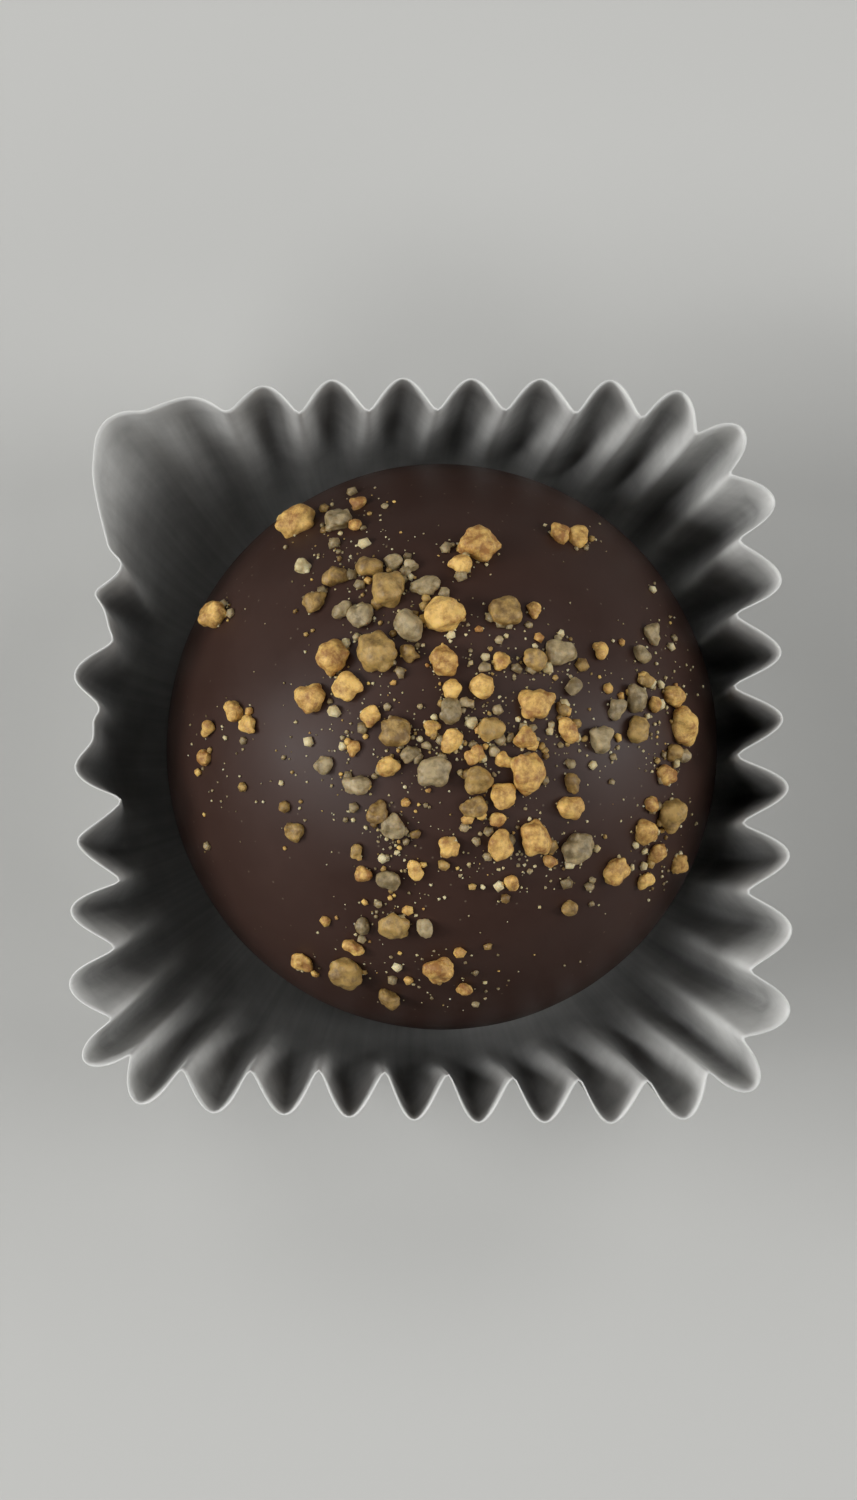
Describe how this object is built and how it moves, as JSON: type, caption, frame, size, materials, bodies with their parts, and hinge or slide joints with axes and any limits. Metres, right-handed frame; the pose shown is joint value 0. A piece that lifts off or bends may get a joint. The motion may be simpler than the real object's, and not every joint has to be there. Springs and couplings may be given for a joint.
{
  "type": "chocolate truffle",
  "caption": "Round dipped chocolate truffle with a flat foot and nut brittle grains over its crown, standing in a flared, fluted paper case pressed to a rounded square.",
  "frame": {"origin": "on the surface that the case stands on, under the middle of the case's rim", "axes": "+Z up out of the case, +X and +Y along the sides of the case's rounded square rim: the picture looks down -Z with +Y up and +X to the right"},
  "size_m": [0.0388, 0.0401, 0.0255],
  "materials": {
    "dark_chocolate": "satin",
    "greaseproof_paper": "matte",
    "nut_brittle": "satin"
  },
  "bodies": {
    "root": {"truffle": "dark_chocolate", "paper_case": "greaseproof_paper"}
  },
  "joints": []
}
